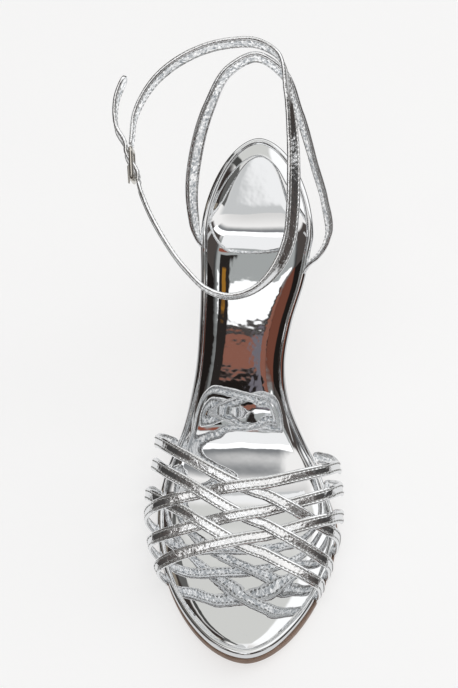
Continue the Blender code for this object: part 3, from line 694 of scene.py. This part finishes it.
# A strap's skin and its stitches, for one node of the part
def makeStrap(name, node, along, strap, ends, wide=None):
    ring, isLining = strapRing(strap)
    belongs(skin(name, strapGrid(*along, ring, wide), [strapSkin, lining], isLining), node)
    belongs(stitchMesh(f"{name}Stitches", *along, strap, ends), node)


# Over and under turn about from one crossing to the next, and the other way for straps from the other side
def makeVamp():
    families = (("innerStrap", vamp["fromInner"], vamp["fromOuter"], 1),
                ("outerStrap", vamp["fromOuter"], vamp["fromInner"], -1))
    for family, straps, others, sign in families:
        for i, strap in enumerate(straps):
            lifts = [sign * vamp["weave"] * (1 if (i + j) % 2 == 0 else -1) for j in range(3)]
            along = vampPath(strap, others, lifts)
            makeStrap(f"{family}{i + 1}", "vamp_straps", along, vamp, vamp["stitchEnds"])


makeVamp()
print("vamp straps made")

# Heel strap and ankle strap: rows of x, y, z and lean of the top edge outwards
longStrap = {
    "wide": 6.4, "thick": 1.5, "groove": 0.22, "grooveWide": 0.22, "stitchInset": 1.4,
    "bead": 0.1, "beadInset": 0.85, "beadWide": 0.3, "sink": 0.08,
    "stitchPitch": 1.95, "stitchLong": 1.35, "stitchThick": 0.46, "stitchRise": 0.17,
    "fineSteps": 6000, "leanEase": 10,
}
heelStrap = {
    "steps": 300, "stitchEnds": (4.0, 4.0),
    "rows": ((-23, 157.3, 81.6, 30), (-24.5, 158.6, 86, 34), (-25.6, 160.6, 90.5, 38),
             (-26.2, 163.4, 95.4, 42), (-26.6, 168.5, 104, 44), (-24.4, 178.5, 119, 42),
             (-18.5, 191.5, 134.5, 28), (-10, 203.5, 144, 8), (1, 208, 147, 0), (11.5, 203, 143.5, 8),
             (19, 190, 131.5, 18), (25.4, 176, 115, 12), (29.6, 166.5, 103.5, 14), (31.2, 157.5, 92, 28),
             (29.4, 154.3, 87.2, 36), (26.4, 151.9, 83.2, 40), (23.6, 150.8, 80.2, 42),
             (21.8, 150, 76.4, 42)),
}
ankleStrap = {
    "steps": 620, "stitchEnds": (3.0, 5.0), "tipLong": 4.0, "tipBlunt": 0.99,
    "rows": ((-48.8, 187, 134.5, 0), (-41.5, 199, 141, 0), (-26, 208.3, 148, 0), (-10, 211.4, 151.6, 0),
             (1.5, 210.7, 152.4, 0), (10.2, 205, 152, -8), (14.6, 190, 146.2, -26), (17, 173.5, 138.5, -46),
             (17.8, 157.5, 131.5, -54), (17.6, 147, 125, -52), (16.4, 138, 118.5, -46),
             (13.4, 130.5, 114.5, -32), (8, 123.5, 111.2, -8), (0.5, 118, 109.6, 10), (-8, 116, 109.6, 15),
             (-15.8, 117.8, 111.2, 14), (-24.4, 124.4, 114.8, 10), (-35.6, 138.4, 120, 6),
             (-42.4, 150.4, 123, 2)),
    "tail": ((-56, 181, 134, 0), (-56.6, 191, 138.5, 0), (-53, 201, 143, 0)),
}
buckle = {
    "centre": (-49.0, 167.2, 127.4), "along": (-0.08, 0.90, 0.42),
    "wire": 0.9, "opening": (11.0, 8.6), "corner": 1.6,
    "prong": 0.5, "prongPoint": 0.35, "prongSpan": (-7.6, 0.2), "prongRound": 14, "gap": 0.3,
    "cornerStep": 7.5, "framePoints": 161, "wirePoints": 21, "prongPoints": 40,
}


# Directions at the buckle: along the strap, up across it and outwards
def buckleAxes():
    along = unit(np.array(buckle["along"]))
    outward = unit(np.cross((0.0, 0.0, 1.0), along))
    return np.stack([along, np.cross(along, outward), outward])


# Row of the ankle strap at a distance along and outwards from the buckle's middle
def atBuckle(along, outwards):
    axes = buckleAxes()
    return (*(np.array(buckle["centre"]) + along * axes[0] + outwards * axes[2]), 0.0)


# Smooth path through the rows; outward is level and square to it, then leaned over with the strap's top edge
def leanPath(rows, steps):
    rows = np.asarray(rows, float)
    knots = np.r_[0, np.cumsum(np.linalg.norm(np.diff(rows[:, :3], axis=0), axis=1))]
    at = np.linspace(0, knots[-1], longStrap["fineSteps"])
    dense = np.stack([smooth(knots, rows[:, k], at) for k in range(4)], axis=1)
    path = evenly(dense, steps)
    lean = np.radians(relax(path[:, 3], longStrap["leanEase"], False))[:, None]
    path = path[:, :3]
    forward = unit(np.gradient(path, axis=0))
    level = unit(np.cross((0.0, 0.0, 1.0), forward))
    upward = np.cross(forward, level)
    across = np.cos(lean) * upward + np.sin(lean) * level
    return path, across, np.cross(across, forward)


# The ankle strap starts sewn at the buckle, goes round, comes back up through the frame and ends in a
# rounded tail
def makeLongStraps():
    along = leanPath(heelStrap["rows"], heelStrap["steps"])
    makeStrap("heelStrap", "heel_strap", along, longStrap, heelStrap["stitchEnds"])
    bar = buckle["opening"][0] / 2 + buckle["wire"]
    near, far = bar - buckle["wire"], bar + buckle["wire"]
    clear = buckle["wire"] + longStrap["thick"] / 2 + 2 * buckle["gap"]
    rows = (atBuckle(far + 3 * buckle["gap"], 0.0), *ankleStrap["rows"],
            atBuckle(-far, -clear), atBuckle(-near, -clear), atBuckle(near, clear), atBuckle(far, clear),
            *ankleStrap["tail"])
    along = leanPath(rows, ankleStrap["steps"])
    left = np.cumsum(np.linalg.norm(np.diff(along[0][::-1], axis=0), axis=1))
    left = np.r_[left[::-1], 0.0] / ankleStrap["tipLong"]
    wide = np.sqrt(1 - np.clip(1 - left, 0, ankleStrap["tipBlunt"]) ** 2)
    makeStrap("ankleStrap", "ankle_strap", along, longStrap, ankleStrap["stitchEnds"], wide)


makeLongStraps()
print("heel and ankle straps made")


# Buckle frame: a round wire carried round a rectangle with turned corners. Prong: a tapering round pin.
def makeBuckle():
    axes = buckleAxes()
    half = np.array(buckle["opening"]) / 2 + buckle["wire"]
    turn = np.radians(np.arange(0, 360, buckle["cornerStep"]))
    corner = np.stack([np.sign(np.cos(turn + 1e-6)), np.sign(np.sin(turn + 1e-6))], axis=1)
    line = corner * (half - buckle["corner"])
    line = line + buckle["corner"] * np.stack([np.cos(turn), np.sin(turn)], axis=1)
    line = np.column_stack([np.concatenate([line, line[:1]]), np.zeros(len(line) + 1)])
    line = evenly(line, buckle["framePoints"])[:-1]
    side = unit(np.roll(line, -1, axis=0) - np.roll(line, 1, axis=0))
    side = np.stack([side[:, 1], -side[:, 0], 0 * side[:, 0]], axis=1)
    spin = np.radians(np.linspace(0, 360, buckle["wirePoints"]))
    ring = line[:, None] + buckle["wire"] * (np.cos(spin)[None, :, None] * side[:, None]
                                            + np.sin(spin)[None, :, None] * np.array((0.0, 0.0, 1.0)))
    ring = np.concatenate([ring, ring[:1]])
    piece = skin("buckleFrame", np.array(buckle["centre"]) + ring @ axes, [nickel])
    belongs(piece, "buckle_frame")
    t = np.linspace(0, 1, buckle["prongPoints"])
    start, end = buckle["prongSpan"]
    thick = buckle["prongPoint"] + (buckle["prong"] - buckle["prongPoint"]) * t
    thick = thick * np.sqrt(np.clip(1 - np.abs(2 * t - 1) ** buckle["prongRound"], 0, 1))
    over = buckle["wire"] + buckle["gap"] + buckle["prong"]
    pin = np.stack([(start + (end - start) * t)[:, None] + 0 * spin, thick[:, None] * np.cos(spin),
                    over + thick[:, None] * np.sin(spin)], axis=-1)
    piece = skin("bucklePin", np.array(buckle["centre"]) + pin @ axes, [nickel])
    belongs(piece, "buckle_prong")


makeBuckle()
print("buckle made")

# Covered heel: a D shaped section, drawn in from the heel seat to the tip
heel = {
    "share": (0.0, 0.25, 0.5, 0.72, 0.88, 1.0),
    "breast": (182.0, 180.8, 178.8, 175.8, 172.4, 169.2),
    "back": (191.6, 192.6, 194.4, 196.8, 199.2, 201.2),
    "wide": (4.8, 5.1, 6.2, 8.8, 14.0, 21.4),
    "tipHigh": 6.0, "gap": 0.12, "seatDepth": 4.02, "levels": 70, "sidePoints": 44,
    "frontPoints": 14, "ringEase": 4, "tipTurn": 0.5, "tipDraw": (0.1, 0.5 / 12), "turnPoints": 6,
}


# Each level is the seat's ring scaled between breast, back and half width; the tip is its lowest ring, turned
# in at both ends
def makeHeel():
    share = 0.5 - 0.5 * np.cos(np.linspace(0, np.pi, heel["sidePoints"]))
    topBreast, topBack = heel["breast"][-1], heel["back"][-1]
    seatY = topBreast + (topBack - topBreast) * share
    outer, inner = halfWidth(seatY, "outer"), halfWidth(seatY, "inner")
    across = np.linspace(0, 1, heel["frontPoints"])[1:-1]
    front = -outer[0] + (outer[0] + inner[0]) * across
    ringX = np.r_[-outer, inner[::-1], front[::-1]] / max(outer.max(), inner.max())
    ringY = np.r_[share, share[::-1], 0 * front]
    ring = relax(np.stack([ringX, ringY], axis=1), heel["ringEase"], True)
    ring = np.concatenate([ring, ring[:1]])
    level = np.linspace(0, 1, heel["levels"])[:, None]
    breast, back, wide = (smooth(heel["share"], heel[key], level) for key in ("breast", "back", "wide"))
    x, y = wide * ring[:, 0], breast + (back - breast) * ring[:, 1]
    height, _, cosine = sideAt(topBreast + (topBack - topBreast) * ring[:, 1])
    bottom = heel["tipHigh"] + heel["gap"]
    z = bottom + level * (height - heel["seatDepth"] / cosine - bottom)
    body = np.stack([x, y, z], axis=-1)
    low, high = body[:1].mean(axis=1, keepdims=True), body[-1:].mean(axis=1, keepdims=True)
    body = np.concatenate([low + 0 * body[:1], body, high + 0 * body[-1:]])
    piece = skin("coveredHeel", body, [foil])
    belongs(piece, "heel")
    base = np.stack([x[0], y[0]], axis=1)
    middle = base[:-1].mean(axis=0)
    turn = np.linspace(0, np.pi / 2, heel["turnPoints"])
    lowDraw, highDraw = heel["tipDraw"]
    shrink = np.r_[0, 1 - lowDraw * (1 - np.sin(turn)), 1, 1 - highDraw * (1 - np.cos(turn)), 0]
    rise = np.r_[0, heel["tipTurn"] * (1 - np.cos(turn)), heel["tipHigh"] - heel["tipTurn"] / 2,
                 heel["tipHigh"] - heel["tipTurn"] / 2 * (1 - np.sin(turn)), heel["tipHigh"]]
    plan = middle + shrink[:, None, None] * (base - middle)
    grid = np.concatenate([plan, np.broadcast_to(rise[:, None, None], (*plan.shape[:2], 1))], axis=-1)
    piece = skin("heelTip", grid, [tip])
    belongs(piece, "heel_tip")


makeHeel()
print("heel made")

# Studio: pale floor and soft boxes. The sky is dark round the horizon and white overhead, with toned cards in
# it, so that the foil has light and dark to show. Cards are placed by degrees round from the front, to the
# arch side, and degrees up. The foil sees a ground of its own, pale by the shoe and dark further off. Behind
# the floor stands a plain pale backdrop.
studio = {
    "floor": {"colour": "A8A8A8", "metallic": 0.0, "roughness": 0.9},
    "floorTone": "F1F1F1", "floorGlow": 0.69, "floorHalf": 20.0, "backdrop": "F3F3F2",
    # degrees up and brightness of the sky
    "sky": ((0, 0.05), (24, 0.06), (46, 0.12), (58, 1.15), (72, 1.12), (90, 0.82)), "skyTint": "FFFDFB",
    # from and to round, from and to up, softness, colour and brightness of each card
    "cards": ((108, 164, 20, 66, 12, "FFFFFF", 1.3),
              (168, 222, 28, 66, 7, "F4F4F0", 0.88),
              (150, 216, 20, 38.5, 4, "FFFFFF", 1.2),
              (24, 78, 0, 61, 5, "544E4B", 1.0),
              (-80, -30, 0, 57, 5, "544E4B", 1.0),
              (-129, -112, 0, 60, 5, "403A37", 1.0),
              (-62, -56, 0, 50, 2, "D8D8D8", 1.0),
              (52, 57, 0, 54, 2, "D8D8D8", 1.0),
              (-140, -135, 20, 62, 1.5, "50504E", 1.0),
              (-118, -113, 20, 58, 1.5, "9A9184", 1.0),
              (-20, 14, 18, 60, 6, "B4B7B6", 1.0),
              (-50, -4, 64, 65, 8, "8C8E90", 1.0),
              (-60, 4, 56.5, 62.8, 1.4, "FFFFFF", 1.7),
              (-19, 2, 39.5, 57, 1.5, "F2F2F2", 1.25),
              (-20, -8, 34, 37, 1.5, "9A5A4A", 1.0),
              (-45, 40, -5, 14.0, 0.2, "221E1C", 1.0),
              (-20, 14, 15.75, 17.4, 0.15, "FFFFFF", 1.4),
              (-12, 4, 14.2, 15.3, 0.12, "966455", 1.0),
              (-12, 4, 15.35, 15.72, 0.12, "4A4644", 1.0),
              (4.5, 19, 4, 13.5, 2.5, "7A4A3C", 1.0),
              (-16, -5.8, 2, 30, 0.5, "2E2A28", 1.0),
              (-152, -100, 76, 90, 9, "DCDDDD", 1.0),
              (-185, -158, 76, 90, 9, "FFFFFF", 1.12),
              (-137, -122, 60, 72, 1.5, "6A6A68", 1.0),
              (-11.5, -8.5, 16.8, 19, 1.0, "A8762E", 1.0),
              (-4.1, -3.1, 4, 15.4, 0.12, "7A767E", 1.0)),
    "ground": {"colour": "000000", "metallic": 0.0, "roughness": 1.0},
    "groundNear": "E8E8E8", "groundFar": "3A332F", "groundReach": (0.3, 0.34), "groundFade": 0.5,
    "groundHalf": 3.0, "groundDrop": 0.0005,
    # place, aim, width, height and brightness of each soft box
    "boxes": (((0.10, -0.45, 1.35), (0.0, 0.0, 0.05), 1.0, 0.9, 1.0),
              ((1.25, 0.35, 0.75), (0.0, 0.0, 0.05), 0.9, 0.9, 0.9)),
}


# A level square round the origin
def plane(name, half, height, material):
    mesh = bpy.data.meshes.new(name)
    corners = ((-half, -half, height), (half, -half, height), (half, half, height), (-half, half, height))
    mesh.from_pydata(corners, [], [(0, 1, 2, 3)])
    mesh.materials.append(material)
    made = bpy.data.objects.new(name, mesh)
    bpy.context.scene.collection.objects.link(made)
    return made


# Brightness by height, then each card mixed over it by the product of its soft edges: at both sides, below
# and above. Only the camera sees the backdrop.
def makeSky():
    world = bpy.data.worlds.new("sky")
    bpy.context.scene.world = world
    world.use_nodes = True
    tree = world.node_tree
    where = addNode(tree, "ShaderNodeTexCoord")
    x, y, z = addNode(tree, "ShaderNodeSeparateXYZ", links={"Vector": where.outputs["Generated"]}).outputs
    degrees = 180 / np.pi
    rise = addNode(tree, "ShaderNodeMath", links={0: z}, operation="ARCSINE")
    up = addNode(tree, "ShaderNodeMath", {1: degrees}, {0: rise.outputs[0]}, operation="MULTIPLY").outputs[0]
    ahead = addNode(tree, "ShaderNodeMath", {1: -1.0}, {0: y}, operation="MULTIPLY")
    turn = addNode(tree, "ShaderNodeMath", links={0: x, 1: ahead.outputs[0]}, operation="ARCTAN2")
    bearing = addNode(tree, "ShaderNodeMath", {1: degrees}, {0: turn.outputs[0]}, operation="MULTIPLY")
    share = addNode(tree, "ShaderNodeMath", {1: 90.0}, {0: up}, operation="DIVIDE")
    ramp = addNode(tree, "ShaderNodeValToRGB", links={"Fac": share.outputs[0]})
    stops = ramp.color_ramp.elements
    tint = np.array(hexColour(studio["skyTint"]))
    for i, (height, bright) in enumerate(studio["sky"]):
        stop = stops[i] if i < 2 else stops.new(height / 90)
        stop.position = height / 90
        stop.color = (*(tint[:3] * bright), 1.0)
    colour = ramp.outputs["Color"]
    for left, right, low, high, soft, code, bright in studio["cards"]:
        half = (right - left) / 2
        off = addNode(tree, "ShaderNodeMath", {1: (left + right) / 2}, {0: bearing.outputs[0]},
                      operation="SUBTRACT")
        off = addNode(tree, "ShaderNodeMath", {1: 180.0, 2: -180.0}, {0: off.outputs[0]}, operation="WRAP")
        away = addNode(tree, "ShaderNodeMath", links={0: off.outputs[0]}, operation="ABSOLUTE").outputs[0]
        limits = ((away, half + soft, half), (up, low - soft, low), (up, high + soft, high))
        edges = [addNode(tree, "ShaderNodeMapRange", {"From Min": start, "From Max": end}, {"Value": value},
                         interpolation_type="SMOOTHSTEP").outputs["Result"] for value, start, end in limits]
        inside = edges[0]
        for edge in edges[1:]:
            both = addNode(tree, "ShaderNodeMath", links={0: inside, 1: edge}, operation="MULTIPLY")
            inside = both.outputs[0]
        mix = addNode(tree, "ShaderNodeMix", links={"Factor": inside}, data_type="RGBA")
        tree.links.new(colour, mix.inputs[6])
        mix.inputs[7].default_value = (*(np.array(hexColour(code))[:3] * bright), 1.0)
        colour = mix.outputs[2]
    seen = addNode(tree, "ShaderNodeLightPath").outputs["Is Camera Ray"]
    mix = addNode(tree, "ShaderNodeMix", links={"Factor": seen}, data_type="RGBA")
    tree.links.new(colour, mix.inputs[6])
    mix.inputs[7].default_value = hexColour(studio["backdrop"])
    tree.links.new(mix.outputs[2], tree.nodes["Background"].inputs["Color"])


# Tone by the distance from the shoe's middle, over the reach each way
def makeGround():
    material, tree, shader, place = newFinish("groundTone", studio["ground"])
    wide, long = studio["groundReach"]
    spread = addNode(tree, "ShaderNodeVectorMath", {1: (1 / wide, 1 / long, 0.0)}, {0: place},
                     operation="MULTIPLY")
    far = addNode(tree, "ShaderNodeVectorMath", links={0: spread.outputs["Vector"]}, operation="LENGTH")
    fade = addNode(tree, "ShaderNodeMapRange",
                   {"From Min": 1 - studio["groundFade"], "From Max": 1 + studio["groundFade"]},
                   {"Value": far.outputs["Value"]}, interpolation_type="SMOOTHSTEP")
    tone = addNode(tree, "ShaderNodeMix", links={"Factor": fade.outputs["Result"]}, data_type="RGBA")
    tone.inputs[6].default_value = hexColour(studio["groundNear"])
    tone.inputs[7].default_value = hexColour(studio["groundFar"])
    tree.links.new(tone.outputs[2], shader.inputs["Emission Color"])
    shader.inputs["Emission Strength"].default_value = 1.0
    ground = plane("ground", studio["groundHalf"], -studio["groundDrop"], material)
    ground.visible_camera = ground.visible_diffuse = False
    ground.visible_shadow = ground.visible_transmission = False


def makeStudio():
    scene = bpy.context.scene
    scene.view_settings.view_transform = "Standard"
    material, _, shader, _ = newFinish("paleFloor", studio["floor"])
    shader.inputs["Emission Color"].default_value = hexColour(studio["floorTone"])
    shader.inputs["Emission Strength"].default_value = studio["floorGlow"]
    floor = plane("floor", studio["floorHalf"], 0.0, material)
    floor.visible_glossy = False
    for i, (place, aim, wide, high, bright) in enumerate(studio["boxes"]):
        light = bpy.data.lights.new(f"softBox{i + 1}", "AREA")
        light.shape = "RECTANGLE"
        light.size, light.size_y = wide, high
        light.energy = bright * np.pi * wide * high
        lamp = bpy.data.objects.new(light.name, light)
        lamp.location = place
        lamp.rotation_euler = (Vector(aim) - Vector(place)).to_track_quat("-Z", "Y").to_euler()
        lamp.visible_camera = lamp.visible_glossy = False
        scene.collection.objects.link(lamp)


makeSky()
makeGround()
makeStudio()
print("studio made")

# Camera at the photograph's place and distance, turned to hold the whole shoe
view = {"place": (49.1, -213.8, 662.8), "aim": (40.1, 67.5, 0.0), "pan": 4.1, "tilt": 6.2,
        "lens": 84.0, "sensor": 36.0}


def makeCamera():
    data = bpy.data.cameras.new("camera")
    data.sensor_fit = "VERTICAL"
    data.sensor_height = view["sensor"]
    data.lens = view["lens"]
    camera = bpy.data.objects.new("camera", data)
    place, aim = ((np.array(view[key]) + shoeShift) * mm for key in ("place", "aim"))
    look = Vector(aim - place).to_track_quat("-Z", "Y")
    look = look @ Quaternion((0, 1, 0), np.radians(view["pan"]))
    look = look @ Quaternion((1, 0, 0), np.radians(view["tilt"]))
    camera.rotation_mode = "QUATERNION"
    camera.location = place.tolist()
    camera.rotation_quaternion = look
    bpy.context.scene.collection.objects.link(camera)
    bpy.context.scene.camera = camera


makeCamera()
print("camera set")

bpy.context.view_layer.update()
